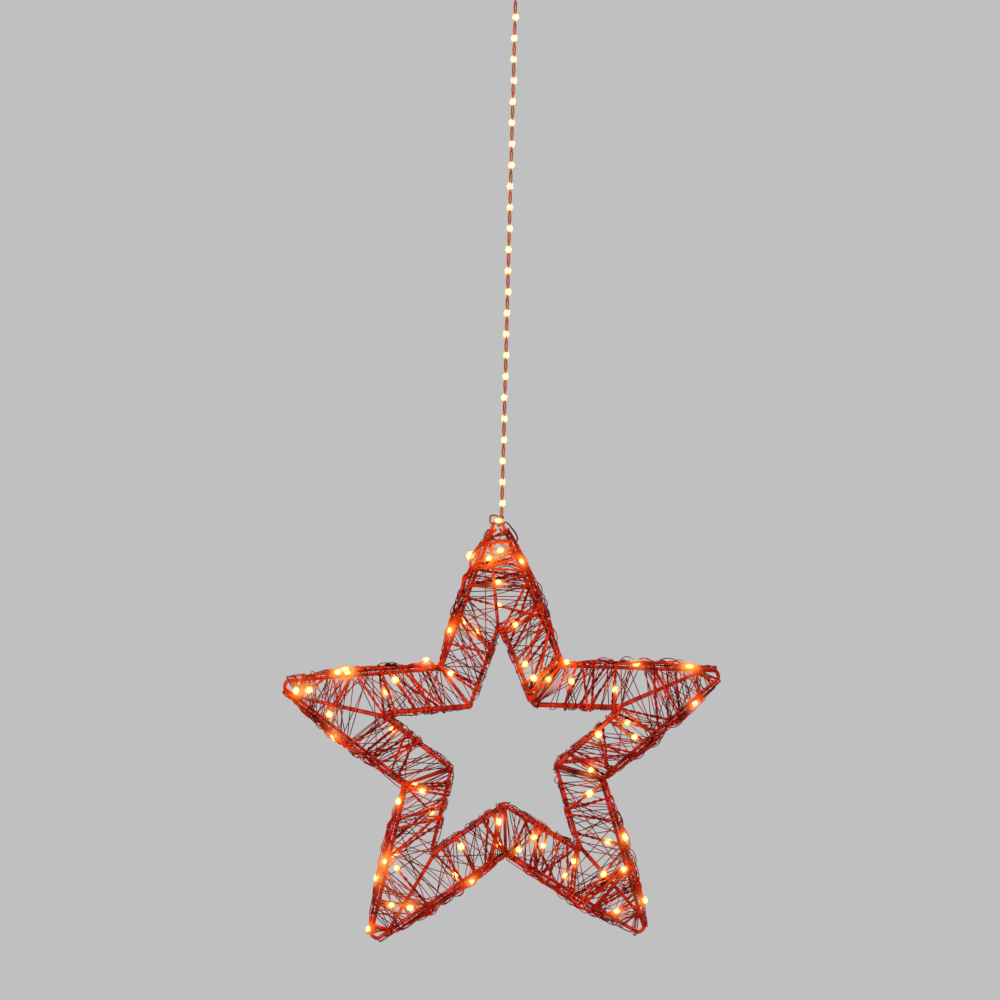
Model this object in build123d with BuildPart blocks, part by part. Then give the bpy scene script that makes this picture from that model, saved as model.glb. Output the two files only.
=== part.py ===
from build123d import *
from collections import namedtuple
import os
from math import atan, atan2, cos, floor, pi, radians, sin, sqrt, tan

# A five-pointed star of red coated steel rods, wound with a thin wire and with a string of LEDs,
# that hangs from a cord of the same string.
# Millimetres. +Z is up and the star faces -Y. The origin is the centre of the hanging eye's bore.
# The star is a hollow band of triangular section: one outline in the middle plane on the outside,
# and two parallel smaller outlines, front and back, round the star-shaped hole.

# The star's rods, measured from the star's centre
point_count = 5
star_reach = 211.0
valley_reach = 94.0
band_width = 36.5
star_depth = 55.0
rod_diameter = 3.5
point_flat = 7.0
inner_point_flat = 4.0

# Struts between the outlines: a point strut lands on a leg of the outer point, short of its end
strut_diameter = 3.0
strut_sides = 12
strut_landing = 12.0
weld_gap = 0.15

# Where the star hangs: its centre below the eye, the end of its top point left of the cord's line, and
# its tilt in degrees
star_drop = 721.8
crown_offset = 3.29
star_tilt = 2.9

# Windings: the thin wire lies on the rods and the LED string lies on the wire. Each has its corners
# on each leg, where they start along it as a share of a step, and its crossings below the tips
wire_diameter = 0.7
wire_sides = 3
string_diameter = 2.0
string_sides = 4
winding_gap = 0.45
tail_share = 3.2
outer_point_margin = 28.0
outer_valley_margin = 12.0
inner_point_margin = 10.0
inner_valley_margin = 4.0
wander_share = 0.04
wander_step = 2.4
bend_share = 0.45
wire_falling_corners = 3
wire_rising_corners = 5
wire_lag = 0.75
wire_start = 54.0
wire_end = 46.0
wire_tip_drop = 14.5
string_falling_corners = 3
string_rising_corners = 2
string_lag = 0.25
string_start = 38.0
string_end = 32.0
string_tip_drop = 18.0
sampling = 5.0
skipping = 60.0

# LEDs: small drops moulded on the string, by their distance along it
led_pitch = 37.0
led_length = 4.4
led_diameter = 4.0
led_sides = 5
led_chamfer = 1.0

# The slack loop of string beside the top point, by distances along its leg and out from it
loop_diameter = 1.2
loop_start = 12.0
loop_end = 20.0
loop_drop = 29.0
loop_foot = 2.0
loop_swell = 7.5
loop_shoulder = 4.4
loop_bend = 1.3

# The cord, its tie round the top point, and the eye that it hangs from
cord_diameter = 3.4
cord_top_taper = 30.0
cord_led_pitch = 19.45
cord_led_first = 9.5
cord_led_diameter = 4.6
cord_led_offset = 0.5
cord_led_turn = 1.9
tip_led_proud = 0.6
tie_width = 2.0
tie_offset = 0.6
knot_diameter = 5.2
knot_length = 5.5
knot_chamfer = 1.0
running_gap = 0.3
eye_bore = 10.0
eye_rim = 3.5
eye_thickness = 4.0
eye_stem_width = 6.4
eye_stem_length = 4.0
ferrule_diameter = 5.6
ferrule_length = 10.0
ferrule_chamfer = 0.8
ferrule_sides = 6

# Worked out from these
rod_radius = rod_diameter / 2
strut_radius = strut_diameter / 2
cord_radius = cord_diameter / 2
half_fifth = pi / point_count
blunt_reach = star_reach - rod_radius
valley_side = valley_reach * sin(half_fifth)
sharp_reach = (blunt_reach - point_flat / 2 / tan(half_fifth)) / (1 - point_flat / 2 / valley_side)
half_point = atan2(valley_side, sharp_reach - valley_reach * cos(half_fifth))
outer_apothem = sharp_reach * sin(half_point)
inner_apothem = outer_apothem - band_width
leg_length = valley_side / sin(half_point)
inner_leg_length = leg_length * inner_apothem / outer_apothem
inner_leg_start = band_width / tan(half_point)
leg_start = point_flat / 2 / sin(half_point)
facet_slope = atan(star_depth / 2 / band_width)

star_plane = Plane(
    origin=(blunt_reach * sin(radians(star_tilt)) - crown_offset, 0, -star_drop),
    x_dir=(cos(radians(star_tilt)), 0, sin(radians(star_tilt))),
    z_dir=(0, -1, 0),
)
arm_turns = [Rotation(0, 0, 90 + 360 * arm / point_count) for arm in range(point_count)]
arm_planes = [Plane(star_plane * turn) for turn in arm_turns]

os.makedirs("parts", exist_ok=True)


def save(piece, name):
    piece.part.label = name
    export_step(piece.part, f"parts/{name}.step")
    return piece


def arm_point(arm, out, sideways, forward):
    """A point by its distance out along an arm, anticlockwise from the arm, and to the front."""
    return arm_planes[arm % point_count].from_local_coords(Vector(out, sideways, forward))


def leg_point(arm, side, along, inward, forward):
    """A point by its distance from the sharp point along a leg, into the band, and to the front."""
    out = sharp_reach - along * cos(half_point) - inward * sin(half_point)
    sideways = side * (along * sin(half_point) - inward * cos(half_point))
    return arm_point(arm, out, sideways, forward)


def mix(low, high, share):
    return low + (high - low) * share


# Rods
def outline_corners(apothem, flat, forward):
    """Corners of a star outline, anticlockwise from the middle of a leg and back to it."""
    sharp = apothem / sin(half_point)
    blunt = sharp - flat / 2 / tan(half_point)
    valley = apothem / sin(half_point + half_fifth)
    corners = []
    for arm in range(point_count):
        corners.append(arm_point(arm, blunt, -flat / 2, forward))
        corners.append(arm_point(arm, blunt, flat / 2, forward))
        corners.append(arm_point(arm, valley * cos(half_fifth), valley * sin(half_fifth), forward))
    seam = (corners[0] + corners[-1]) / 2
    return [seam, *corners, seam]


def outline_rod(name, apothem, flat, forward):
    corners = outline_corners(apothem, flat, forward)
    with BuildPart() as rod:
        with BuildLine():
            Polyline(*corners)
        with BuildSketch(Plane(origin=corners[0], z_dir=corners[1] - corners[0])):
            Circle(rod_radius)
        sweep(transition=Transition.RIGHT)
    return save(rod, name)


outline_rod("outer_star_rod", outer_apothem, point_flat, 0)
outline_rod("inner_star_rod_front", inner_apothem, inner_point_flat, star_depth / 2)
outline_rod("inner_star_rod_back", inner_apothem, inner_point_flat, -star_depth / 2)


def butt(strut_line, rod_line):
    """How far short of a rod's centreline a strut's flat end stops, to clear the rod."""
    angle = radians(strut_line.get_angle(rod_line))
    return (rod_radius + weld_gap + strut_radius * abs(cos(angle))) / sin(angle)


def strut(name, start, end, start_cut, end_cut):
    line = end - start
    with BuildPart() as rod:
        with BuildSketch(Plane(origin=start + line.normalized() * start_cut, z_dir=line)):
            RegularPolygon(strut_radius, strut_sides)
        extrude(amount=line.length - start_cut - end_cut)
    return save(rod, name)


inner_blunt = inner_apothem / sin(half_point) - inner_point_flat / 2 / tan(half_point)
inner_valley = inner_apothem / sin(half_point + half_fifth)
for arm in range(point_count):
    for face, forward in (("front", star_depth / 2), ("back", -star_depth / 2)):
        start = arm_point(arm, inner_blunt, inner_point_flat / 2, forward)
        end = leg_point(arm, 1, leg_start + strut_landing, 0, 0)
        blunt_line = arm_point(arm, inner_blunt, -inner_point_flat / 2, forward) - start
        leg_line = leg_point(arm, 1, 0, 0, 0) - end
        strut(
            f"point_strut_{face}_{arm + 1}",
            start,
            end,
            butt(end - start, blunt_line),
            butt(end - start, leg_line),
        )

        start = arm_point(arm, inner_valley * cos(half_fifth), inner_valley * sin(half_fifth), forward)
        end = arm_point(arm, valley_reach * cos(half_fifth), valley_side, 0)
        leg_line = arm_point(arm, inner_blunt, inner_point_flat / 2, forward) - start
        strut(
            f"valley_strut_{face}_{arm + 1}",
            start,
            end,
            butt(end - start, leg_line),
            rod_radius / sin(half_point + half_fifth) + weld_gap,
        )


# Windings: a corner has its point, and the middles there of the rod that it rounds and of the band
Corner = namedtuple("Corner", "point rod line middle")


def leg_corner(arm, side, along, inward, forward, rod_inward, rod_forward):
    line = leg_point(arm, side, leg_length, 0, 0) - leg_point(arm, side, 0, 0, 0)
    return Corner(
        leg_point(arm, side, along, inward, forward),
        leg_point(arm, side, along, rod_inward, rod_forward),
        line.normalized(),
        leg_point(arm, side, along, band_width / 2, 0),
    )


def wound_corner(kind, arm, side, share, stand_off):
    if kind == "outer":
        along = mix(leg_start + outer_point_margin, leg_length - outer_valley_margin, share)
        return leg_corner(arm, side, along, -stand_off / sin(facet_slope), 0, 0, 0)
    along = inner_leg_start + mix(inner_point_margin, inner_leg_length - inner_valley_margin, share)
    forward = star_depth / 2 + stand_off * (1 / cos(facet_slope) + tan(facet_slope))
    facing = 1 if kind == "front" else -1
    inward = band_width + stand_off
    return leg_corner(arm, side, along, inward, facing * forward, band_width, facing * star_depth / 2)


def tip_corner(face, arm, side, drop, stand_off):
    """Where a winding that crosses one face of a point, below its tip, turns round the leg to the
    facet of the other face."""
    outward = stand_off / tan(facet_slope / 2)
    along = (drop + outward * sin(half_point)) / cos(half_point)
    facing = 1 if face == "front" else -1
    return leg_corner(arm, side, along, -outward, facing * stand_off, 0, 0)


def winding_corners(faces, falling, rising, lag, start, end, tip_drop, thickness, stand_off):
    """Corners of a winding that goes clockwise round the star, from one side of the top point to the
    other. It crosses each valley over a facet, and each other point over one face near its tip, and
    its two faces change places there. A falling leg goes from a point to a valley."""
    seat = -rod_radius - winding_gap
    tail = seat - tail_share * thickness
    corners = [leg_corner(0, -1, start, inward, 0, 0, 0) for inward in (seat, tail)]
    for leg in range(2 * point_count):
        falls = leg % 2 == 0
        arm = -((leg + 1) // 2)
        steps = falling if falls else rising
        for step in range(steps):
            share = (step + lag) / steps + wander_share * sin(wander_step * (leg + step))
            share = share if falls else 1 - share
            kind = (*faces, "outer")[step % 3]
            corners.append(wound_corner(kind, arm, -1 if falls else 1, share, stand_off))
        if not falls and leg < 2 * point_count - 1:
            corners += [tip_corner(faces[0], arm, side, tip_drop, stand_off) for side in (1, -1)]
            faces = faces[::-1]
    return corners + [leg_corner(0, 1, end, inward, 0, 0, 0) for inward in (tail, seat)]


def openings(points):
    """Half the angle between the two runs at each inner corner."""
    return [
        radians((before - here).get_angle(after - here)) / 2
        for before, here, after in zip(points, points[1:], points[2:])
    ]


def bend_radii(corners, thickness, stand_off):
    """Radii that bring each bend round its rod: the middle of the arc, on the corner's bisector, comes
    as near the rod's centreline as the stand-off. A bend that passes the rod takes up the runs' room."""
    points = [corner.point for corner in corners]
    radii = []
    for before, corner, after, opening in zip(points, corners[1:], points[2:], openings(points)):
        one, other = before - corner.point, after - corner.point
        bisector = (one.normalized() + other.normalized()).normalized()
        across = bisector - corner.line * bisector.dot(corner.line)
        offset = corner.point - corner.rod
        reach = -offset.dot(across) / across.dot(across)
        slack = reach**2 - (offset.dot(offset) - stand_off**2) / across.dot(across)
        room = bend_share * min(one.length, other.length) * tan(opening)
        passes = reach < 0 or slack < 0
        snug = room if passes else (reach - sqrt(slack)) / (1 / sin(opening) - 1)
        radii.append(min(room, max(snug, thickness)))
    radii[0] = radii[-1] = thickness
    return radii


def least_gap(path, thickness, spacing, apart):
    """Least gap between stretches of a tube that lie further apart along it than a given length."""
    count = floor(path.length / spacing)
    points = [path.position_at(i / count) for i in range(count + 1)]
    skip = floor(apart / spacing)
    nearest = min(
        (points[i] - points[j]).length for i in range(len(points)) for j in range(i + skip, len(points))
    )
    return nearest - thickness


def tube(name, points, radii, thickness, sides):
    with BuildPart() as wound:
        with BuildLine():
            path = FilletPolyline(*points, radius=radii)
        with BuildSketch(Plane(origin=path @ 0, z_dir=path % 0)):
            RegularPolygon(thickness / 2, sides)
        sweep()
    section = sides / 2 * (thickness / 2) ** 2 * sin(2 * pi / sides)
    print(name, "length", round(path.length), "mm, least bend", round(min(radii), 1), "mm")
    print(name, "volume over section times length", round(wound.part.volume / section / path.length, 4))
    save(wound, name)
    return path


wire_stand_off = rod_radius + winding_gap + wire_diameter / 2
wire_corners = winding_corners(
    ("back", "front"),
    wire_falling_corners,
    wire_rising_corners,
    wire_lag,
    wire_start,
    wire_end,
    wire_tip_drop,
    wire_diameter,
    wire_stand_off,
)
wire_radii = bend_radii(wire_corners, wire_diameter, wire_stand_off)
wire_points = [corner.point for corner in wire_corners]
wire_path = tube("wrap_wire", wire_points, wire_radii, wire_diameter, wire_sides)
wire_gap = least_gap(wire_path, wire_diameter, sampling, skipping)
print("wrap_wire least gap to itself", round(wire_gap, 1))

string_stand_off = rod_radius + 2 * winding_gap + wire_diameter + string_diameter / 2
string_corners = winding_corners(
    ("front", "back"),
    string_falling_corners,
    string_rising_corners,
    string_lag,
    string_start,
    string_end,
    string_tip_drop,
    string_diameter,
    string_stand_off,
)
string_radii = bend_radii(string_corners, string_diameter, string_stand_off)
string_points = [corner.point for corner in string_corners]
string_path = tube("light_string", string_points, string_radii, string_diameter, string_sides)
string_gap = least_gap(string_path, string_diameter, sampling, skipping)
print("light_string least gap to itself", round(string_gap, 1))

# The slack loop stands out from the right leg of the top point
loop_route = [
    (loop_start, -rod_radius - weld_gap),
    (loop_start, -loop_shoulder),
    (loop_drop, -loop_swell),
    (loop_drop + loop_foot, -loop_shoulder),
    (loop_end, -loop_shoulder),
    (loop_end, -rod_radius - weld_gap),
]
loop_points = [leg_point(0, -1, along, inward, 0) for along, inward in loop_route]
tube("tip_loop", loop_points, [loop_bend] * (len(loop_points) - 2), loop_diameter, wire_sides)


# LEDs
def drop(diameter):
    with BuildPart() as shape:
        with BuildSketch():
            RegularPolygon(diameter / 2, led_sides)
        extrude(amount=led_length / 2, both=True)
        chamfer(faces().filter_by(Axis.Z).edges(), led_chamfer)
    return shape.part


def led_planes(corners, radii):
    """Planes across the string where its LEDs are, a pitch apart and off the bends. Each LED stands
    out on the side away from the star's rods."""
    points = [corner.point for corner in corners]
    halves = openings(points)
    cuts = [0, *(radius / tan(half) for radius, half in zip(radii, halves)), 0]
    bends = [*(radius * (pi - 2 * half) for radius, half in zip(radii, halves)), 0]
    planes = []
    run_start = 0
    due = led_pitch
    for i, bend in enumerate(bends):
        line = points[i + 1] - points[i]
        run = line.length - cuts[i] - cuts[i + 1]
        line = line.normalized()
        middle = (corners[i].middle + corners[i + 1].middle) / 2
        while due < run_start + run + bend / 2:
            along = min(max(due - run_start, led_length), run - led_length)
            place = points[i] + line * (cuts[i] + along)
            outward = place - middle - line * (place - middle).dot(line)
            place += outward.normalized() * (led_diameter - string_diameter) / 2
            planes.append(Plane(origin=place, z_dir=line))
            due += led_pitch
        run_start += run + bend
    return planes


with BuildPart() as star_leds:
    with Locations(*led_planes(string_corners, string_radii)):
        add(drop(led_diameter))
save(star_leds, "star_leds")
print("LEDs on the star", len(star_leds.solids()))

# The tie: a band of string round the blunt end of the top point, and the knot over it
crown = arm_point(0, blunt_reach, 0, 0)
crown_line = -arm_planes[0].y_dir
knot_base = crown.Z + rod_radius + 2 * running_gap
knot_top = knot_base + knot_length
with BuildPart() as tip_tie:
    with BuildSketch(Plane.XY.offset(knot_base)):
        Circle(knot_diameter / 2)
    extrude(amount=knot_length)
    chamfer(edges().filter_by(GeomType.CIRCLE).sort_by(Axis.Z)[-1], knot_chamfer)
    with BuildSketch(Plane(origin=crown + crown_line * tie_offset, z_dir=crown_line)):
        Circle(rod_radius + running_gap + string_diameter)
        Circle(rod_radius + running_gap, mode=Mode.SUBTRACT)
    extrude(amount=tie_width / 2, both=True)
save(tip_tie, "tip_tie")

tip_led_front = rod_radius + running_gap + string_diameter + tip_led_proud
tip_led_place = crown + crown_line * tie_offset - Vector(0, tip_led_front, 0)
with BuildPart() as tip_led:
    with Locations(Plane(origin=tip_led_place, z_dir=crown_line)):
        add(drop(led_diameter))
save(tip_led, "tip_led")

# The hanging eye and the ferrule under it
eye_radius = eye_bore / 2 + eye_rim
ferrule_top = -eye_radius - eye_stem_length
with BuildPart() as hanging_eye:
    with BuildSketch(Plane.XZ):
        Circle(eye_radius)
        with Locations((0, ferrule_top / 2)):
            Rectangle(eye_stem_width, -ferrule_top)
    extrude(amount=eye_thickness / 2, both=True)
    with BuildSketch(Plane.XZ):
        Circle(eye_bore / 2)
    extrude(amount=eye_thickness, both=True, mode=Mode.SUBTRACT)
save(hanging_eye, "hanging_eye")

ferrule_bottom = ferrule_top - ferrule_length
with BuildPart() as cord_ferrule:
    with BuildSketch(Plane.XY.offset(ferrule_bottom)):
        RegularPolygon(ferrule_diameter / 2, ferrule_sides)
    extrude(amount=ferrule_length)
    chamfer(faces().sort_by(Axis.Z)[0].edges(), ferrule_chamfer)
save(cord_ferrule, "cord_ferrule")

# The hanging cord, rounded off at the top where it swings, and its LEDs
cord_swing_height = ferrule_bottom - running_gap - cord_radius
cord_bottom = knot_top + running_gap
with BuildPart() as hanging_cord:
    with BuildSketch(Plane.XY.offset(cord_bottom)):
        Circle(cord_radius)
    extrude(amount=cord_swing_height - cord_bottom)
    with BuildSketch(Plane.XY.offset(cord_swing_height)):
        Circle(cord_radius)
    extrude(amount=cord_radius * sin(radians(2 * cord_top_taper)), taper=cord_top_taper)
save(hanging_cord, "hanging_cord")

cord_led_count = floor((cord_swing_height - cord_bottom - cord_led_first) / cord_led_pitch) + 1
cord_led_places = [
    (
        cord_led_offset * cos(cord_led_turn * led),
        cord_led_offset * sin(cord_led_turn * led),
        cord_bottom + cord_led_first + cord_led_pitch * led,
    )
    for led in range(cord_led_count)
]
with BuildPart() as cord_leds:
    with Locations(*cord_led_places):
        add(drop(cord_led_diameter))
save(cord_leds, "cord_leds")
print("LEDs on the cord", len(cord_leds.solids()))
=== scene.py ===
import random
from math import atan, atan2, ceil, cos, hypot, pi, radians, sin, tan

import bpy
import numpy as np
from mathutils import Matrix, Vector


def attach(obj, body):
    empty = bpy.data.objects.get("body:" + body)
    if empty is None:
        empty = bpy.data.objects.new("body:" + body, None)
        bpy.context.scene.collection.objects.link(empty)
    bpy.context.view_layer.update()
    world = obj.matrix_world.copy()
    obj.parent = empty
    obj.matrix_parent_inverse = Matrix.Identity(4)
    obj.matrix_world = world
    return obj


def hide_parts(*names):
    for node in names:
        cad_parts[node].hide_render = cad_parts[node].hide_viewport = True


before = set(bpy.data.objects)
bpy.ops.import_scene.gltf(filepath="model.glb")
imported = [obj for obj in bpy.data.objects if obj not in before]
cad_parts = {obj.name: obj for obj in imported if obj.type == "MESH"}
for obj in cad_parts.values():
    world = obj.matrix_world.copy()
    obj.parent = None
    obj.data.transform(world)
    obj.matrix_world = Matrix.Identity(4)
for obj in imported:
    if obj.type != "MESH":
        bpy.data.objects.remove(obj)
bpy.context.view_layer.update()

# Sizes of the star, as in part.py but in metres
POINTS = 5
STAR_REACH = 0.211
VALLEY_REACH = 0.094
BAND_WIDTH = 0.0365
STAR_DEPTH = 0.055
ROD_RADIUS = 0.00175
POINT_FLAT = 0.007
INNER_POINT_FLAT = 0.004
STRUT_RADIUS = 0.0015
STRUT_LANDING = 0.012
STAR_DROP = 0.7218
CROWN_OFFSET = 0.00329
STAR_TILT = radians(2.9)

HALF_FIFTH = pi / POINTS
BLUNT_REACH = STAR_REACH - ROD_RADIUS
VALLEY_SIDE = VALLEY_REACH * sin(HALF_FIFTH)
SHARP_REACH = (BLUNT_REACH - POINT_FLAT / 2 / tan(HALF_FIFTH)) / (1 - POINT_FLAT / 2 / VALLEY_SIDE)
HALF_POINT = atan2(VALLEY_SIDE, SHARP_REACH - VALLEY_REACH * cos(HALF_FIFTH))
OUTER_APOTHEM = SHARP_REACH * sin(HALF_POINT)
INNER_APOTHEM = OUTER_APOTHEM - BAND_WIDTH
LEG_LENGTH = VALLEY_SIDE / sin(HALF_POINT)
INNER_LEG_START = BAND_WIDTH / tan(HALF_POINT)
INNER_LEG_END = INNER_LEG_START + LEG_LENGTH * INNER_APOTHEM / OUTER_APOTHEM
LEG_START = POINT_FLAT / 2 / sin(HALF_POINT)
INNER_BLUNT = INNER_APOTHEM / sin(HALF_POINT) - INNER_POINT_FLAT / 2 / tan(HALF_POINT)
INNER_VALLEY = INNER_APOTHEM / sin(HALF_POINT + HALF_FIFTH)
FACET_SLOPE = atan(STAR_DEPTH / 2 / BAND_WIDTH)
CENTRE = Vector((BLUNT_REACH * sin(STAR_TILT) - CROWN_OFFSET, 0, -STAR_DROP))

# The photograph: its pixels are taken as 0.92 mm apart at the star, and the camera is rolled to it
PHOTO_SIZE = 1000
PIXEL = 0.00092
CORD_PIXEL = (516.5, -34.8)
ROLL = radians(1.55)
CAMERA_DISTANCE = 8.0
SENSOR_MM = 36.0
IMAGE_RIGHT = Vector((cos(ROLL), 0, sin(ROLL)))
IMAGE_UP = Vector((-sin(ROLL), 0, cos(ROLL)))
VIEW_CENTRE = (
    IMAGE_RIGHT * (PHOTO_SIZE / 2 - CORD_PIXEL[0]) * PIXEL
    + IMAGE_UP * (CORD_PIXEL[1] - PHOTO_SIZE / 2) * PIXEL
)


def add_object(name, data):
    made = bpy.data.objects.new(name, data)
    bpy.context.scene.collection.objects.link(made)
    return made


def add_camera():
    camera = add_object("camera", bpy.data.cameras.new("camera"))
    camera.data.sensor_width = SENSOR_MM
    camera.data.lens = SENSOR_MM * CAMERA_DISTANCE / (PHOTO_SIZE * PIXEL)
    camera.location = VIEW_CENTRE - Vector((0, CAMERA_DISTANCE, 0))
    camera.rotation_euler = (pi / 2, -ROLL, 0)
    bpy.context.scene.camera = camera


add_camera()


# Places on the star
def arm_point(arm, out, sideways, forward):
    """A point by its distance out along an arm, anticlockwise from the arm, and to the front."""
    turn = STAR_TILT + pi / 2 + arm * 2 * pi / POINTS
    x = out * cos(turn) - sideways * sin(turn)
    z = out * sin(turn) + sideways * cos(turn)
    return CENTRE + Vector((x, -forward, z))


def leg_place(side, along, inward):
    """A place on a leg, by its distances from the sharp point and into the band: out, sideways."""
    out = SHARP_REACH - along * cos(HALF_POINT) - inward * sin(HALF_POINT)
    return out, side * (along * sin(HALF_POINT) - inward * cos(HALF_POINT))


def leg_point(arm, side, along, inward, forward):
    return arm_point(arm, *leg_place(side, along, inward), forward)


def mix(low, high, share):
    return low + (high - low) * share


def between(value, low, high):
    return min(max(value, low), high)


# Meshes
LEAST_RUN = 1e-6
LEAST_STEP = 1e-9
ODD_WAY = (0.31, 0.22, 0.93)


def smooth_path(points, step):
    """Points a step apart on a smooth curve through the given ones, without overshoot."""
    places = np.array([tuple(p) for p in points])
    runs = np.diff(places, axis=0)
    lengths = np.maximum(np.linalg.norm(runs, axis=1), LEAST_RUN)
    ways = runs / lengths[:, None]
    slopes = np.empty_like(places)
    slopes[0], slopes[-1] = ways[0], ways[-1]
    slopes[1:-1] = runs[:-1] + runs[1:]
    slopes /= np.maximum(np.linalg.norm(slopes, axis=1), LEAST_RUN)[:, None]
    made = []
    for i, length in enumerate(lengths):
        count = max(1, ceil(length / step))
        t = (np.arange(count) / count)[:, None]
        made.append(
            places[i] * (1 + 2 * t) * (1 - t) ** 2
            + slopes[i] * length * t * (1 - t) ** 2
            + places[i + 1] * t**2 * (3 - 2 * t)
            - slopes[i + 1] * length * t**2 * (1 - t)
        )
    return np.vstack([*made, places[-1:]])


def path_frames(path, closed=False, up=None):
    """Unit vectors along a path and two across it that turn with it as little as they can."""
    ahead = np.diff(np.vstack([path, path[:1]]) if closed else path, axis=0)
    ahead /= np.maximum(np.linalg.norm(ahead, axis=1), LEAST_STEP)[:, None]
    if closed:
        along = ahead + np.roll(ahead, 1, axis=0)
    else:
        along = np.vstack([ahead[:1], ahead[:-1] + ahead[1:], ahead[-1:]])
    along /= np.maximum(np.linalg.norm(along, axis=1), LEAST_STEP)[:, None]
    side = np.array(up if up is not None else np.cross(along[0], ODD_WAY))
    sides = np.empty_like(along)
    for i, way in enumerate(along):
        side = side - way * side.dot(way)
        side /= np.linalg.norm(side)
        sides[i] = side
    return along, sides, np.cross(along, sides)


def ring_faces(here, there, sides):
    """Faces between two rings of points, from the number of each ring's first point."""
    return [(here + k, here + (k + 1) % sides, there + (k + 1) % sides, there + k) for k in range(sides)]


class Mesh:
    """Gathers the points and faces of one piece."""

    def __init__(self):
        self.points = []
        self.faces = []
        self.count = 0
        self.lamp_and_painted_glow = []
        self.slots = []

    def add(self, points, faces):
        self.points.append(np.asarray(points))
        self.faces += [tuple(self.count + i for i in face) for face in faces]
        self.count += len(points)

    def tube(self, path, radius, sides, closed=False, up=None):
        """A tube with low pointed ends along a path; its radius is one number or one for each point."""
        path = np.asarray(path)
        along, side, other = path_frames(path, closed, up)
        angles = 2 * pi * np.arange(sides) / sides
        rounds = np.cos(angles)[None, :, None] * side[:, None]
        rounds = rounds + np.sin(angles)[None, :, None] * other[:, None]
        sizes = np.broadcast_to(radius, len(path))[:, None, None]
        rings = (path[:, None] + rounds * sizes).reshape(-1, 3)
        count = len(path)
        faces = []
        for i in range(count if closed else count - 1):
            faces += ring_faces(i * sides, (i + 1) % count * sides, sides)
        if not closed:
            foot = path[0] - along[0] * sizes[0, 0] / 2
            head = path[-1] + along[-1] * sizes[-1, 0] / 2
            rings = np.vstack([rings, np.array([foot, head])])
            last = (count - 1) * sides
            faces += [(count * sides, (k + 1) % sides, k) for k in range(sides)]
            faces += [(count * sides + 1, last + k, last + (k + 1) % sides) for k in range(sides)]
        self.add(rings, faces)

    def turned(self, place, axis, profile, sides):
        """A solid of revolution: the profile's pairs are distances along the axis and off it."""
        axis = Vector(axis).normalized()
        path = [Vector(place) + axis * along for along, _ in profile]
        radii = [radius for _, radius in profile]
        frames = path_frames(np.array([tuple(Vector(place)), tuple(Vector(place) + axis)]))
        side, other = Vector(frames[1][0]), Vector(frames[2][0])
        rings = []
        for middle, radius in zip(path, radii):
            for k in range(sides):
                angle = 2 * pi * k / sides
                rings.append(tuple(middle + (side * cos(angle) + other * sin(angle)) * radius))
        faces = []
        for i in range(len(path) - 1):
            faces += ring_faces(i * sides, (i + 1) * sides, sides)
        faces.append(tuple(range(sides))[::-1])
        faces.append(tuple((len(path) - 1) * sides + k for k in range(sides)))
        self.add(rings, faces)

    def piece(self, name, materials, body, slot, *nodes):
        mesh = bpy.data.meshes.new(name)
        mesh.from_pydata(np.vstack(self.points).tolist(), [], self.faces)
        mesh.polygons.foreach_set("use_smooth", [True] * len(mesh.polygons))
        for material in materials:
            mesh.materials.append(material)
        if self.slots:
            mesh.polygons.foreach_set("material_index", self.slots)
        # Each point's glow: the LED's own brightness where it is given, elsewhere painted LED light from the
        # nearby LEDs
        lamp_and_painted_glow = mesh.attributes.new("lamp_and_painted_glow", "FLOAT", "POINT")
        lamp_and_painted_glow.data.foreach_set("value", self.lamp_and_painted_glow or painted_led_light(np.vstack(self.points)))
        made = add_object(name, mesh)
        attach(made, body)
        if nodes:
            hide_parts(*nodes)
        return made


def round_corners(points, radii, step):
    """Points along a closed outline, with arcs of these radii at its corners."""
    made = []
    count = len(points)
    for i, here in enumerate(points):
        one = points[i - 1] - here
        two = points[(i + 1) % count] - here
        opening = one.angle(two) / 2
        cut = radii[i] / tan(opening)
        start, end = here + one.normalized() * cut, here + two.normalized() * cut
        middle = here + (one.normalized() + two.normalized()).normalized() * (radii[i] / sin(opening))
        arcs = max(3, ceil(radii[i] * (pi - 2 * opening) / step))
        ways = [(start - middle).slerp(end - middle, k / arcs).normalized() for k in range(arcs + 1)]
        made += [middle + way * radii[i] for way in ways]
    return made


def strut_line(arm, facing):
    """Ends of a point strut: at the inner point, and on the leg near the outer point."""
    start = (INNER_BLUNT, INNER_POINT_FLAT / 2, facing * STAR_DEPTH / 2)
    end = (*leg_place(1, LEG_START + STRUT_LANDING, 0), 0)
    return start, end


# Windings. Round each rod they turn between the outward normals of its two facets, as angles from
# inward to forward: the front facet's, the back facet's, and the inner facet's
FACE_NORMAL = {1: pi / 2 + FACET_SLOPE, -1: 3 * pi / 2 - FACET_SLOPE}
INNER_NORMAL = {1: 0, -1: 2 * pi}
TIP_END = 0.0105
TIED_TIP_END = 0.0175
OUTER_END_GAP = 0.0015
INNER_START_GAP = 0.0015
INNER_END_GAP = 0.003
STRUT_END_SHARE = 0.02
STRUT_MEET_SHARE = 0.05
STRUT_CLEARANCE = 1.1
LYING_GAP = 0.0006
LEAN = 0.7
ARC_SHARES = (0.2, 0.4, 0.6, 0.8)
ARC_SWELL = (0.3, 1)
ARC_WAVER = (0.75, 1.1)


def round_rod(arm, side, along, rod, angles, stand_off):
    """Places round a rod as a winding turns about it, from one facet's normal to the other's."""
    inward, forward = rod
    return [
        leg_point(arm, side, along, inward + stand_off * cos(angle), forward + stand_off * sin(angle))
        for angle in angles
    ]


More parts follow.
